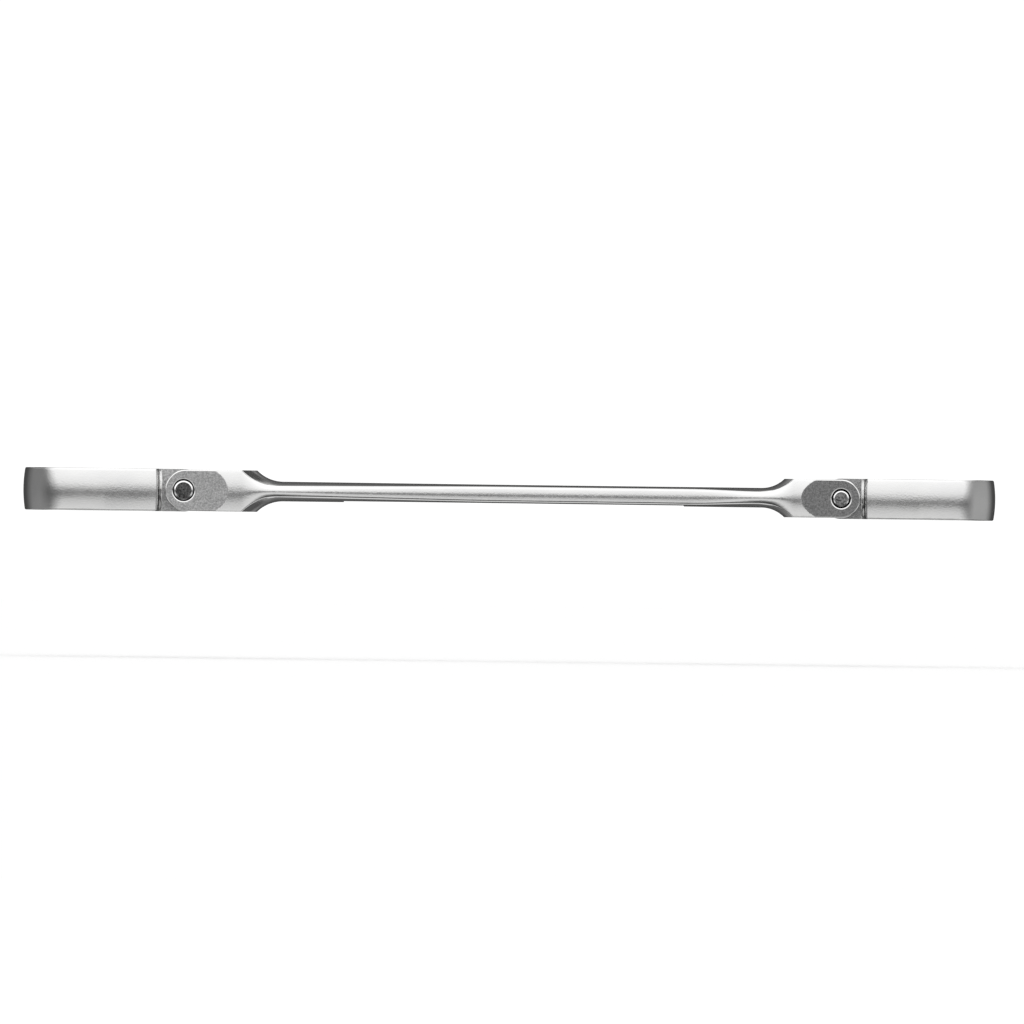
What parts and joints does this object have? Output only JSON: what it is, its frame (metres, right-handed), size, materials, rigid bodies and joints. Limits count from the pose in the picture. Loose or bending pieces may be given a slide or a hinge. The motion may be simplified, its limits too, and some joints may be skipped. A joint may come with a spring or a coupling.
{
  "type": "ratchet wrench",
  "caption": "Slim ring wrench with a ratcheting twelve-point head on a friction hinge at each end of a forked, satin-chrome handle.",
  "frame": {"origin": "middle of the whole wrench with both heads straight", "axes": "+X along the handle towards the small end, +Y across the width along the hinge pins, +Z along the gears' axes"},
  "size_m": [0.222, 0.0274, 0.0098],
  "materials": {
    "satin_chrome": "satin chrome plate over a brushed forging",
    "head_chrome": "satin chrome plate over a brushed forging",
    "gear_steel": "fine matte nickel-chrome on a machined gear",
    "pin_steel": "bare hardened steel with a machined end",
    "ball_steel": "polished bearing steel",
    "spring_steel": "drawn spring wire",
    "pawl_steel": "hardened tool steel, oiled",
    "washer_steel": "ground spring-steel strip",
    "ring_steel": "phosphated spring steel"
  },
  "bodies": {
    "handle": {"handle": "satin_chrome", "pivot_pin_large": "pin_steel", "pivot_pin_small": "pin_steel", "joint_ball_large": "ball_steel", "joint_ball_small": "ball_steel", "joint_spring_large": "spring_steel", "joint_spring_small": "spring_steel"},
    "head_large": {"head_large": "head_chrome", "thrust_washer_large": "washer_steel", "retaining_ring_large": "ring_steel", "pawl_spring_large": "spring_steel"},
    "gear_large": {"ratchet_gear_large": "gear_steel"},
    "pawl_large": {"pawl_large": "pawl_steel", "pawl_plunger_large": "ball_steel"},
    "head_small": {"head_small": "head_chrome", "thrust_washer_small": "washer_steel", "retaining_ring_small": "ring_steel", "pawl_spring_small": "spring_steel"},
    "gear_small": {"ratchet_gear_small": "gear_steel"},
    "pawl_small": {"pawl_small": "pawl_steel", "pawl_plunger_small": "ball_steel"}
  },
  "joints": [
    {"name": "flex_large", "type": "hinge", "parent": "handle", "child": "head_large", "pos_m": [-0.0743, 0, 0], "axis": [0, 1, 0], "range_deg": [-90, 90]},
    {"name": "drive_large", "type": "hinge", "parent": "head_large", "child": "gear_large", "pos_m": [-0.09725, 0, 0], "axis": [0, 0, 1], "continuous": true},
    {"name": "pawl_travel_large", "type": "slide", "parent": "head_large", "child": "pawl_large", "axis": [1, 0, 0], "range_m": [0, 0.0006], "stiffness_N_per_m": 300, "springref_m": -0.0015, "deforming": ["pawl_spring_large"]},
    {"name": "flex_small", "type": "hinge", "parent": "handle", "child": "head_small", "pos_m": [0.0757, 0, 0], "axis": [0, 1, 0], "range_deg": [-90, 90]},
    {"name": "drive_small", "type": "hinge", "parent": "head_small", "child": "gear_small", "pos_m": [0.0981, 0, 0], "axis": [0, 0, 1], "continuous": true},
    {"name": "pawl_travel_small", "type": "slide", "parent": "head_small", "child": "pawl_small", "axis": [-1, 0, 0], "range_m": [0, 0.0006], "stiffness_N_per_m": 300, "springref_m": -0.0015, "deforming": ["pawl_spring_small"]}
  ]
}
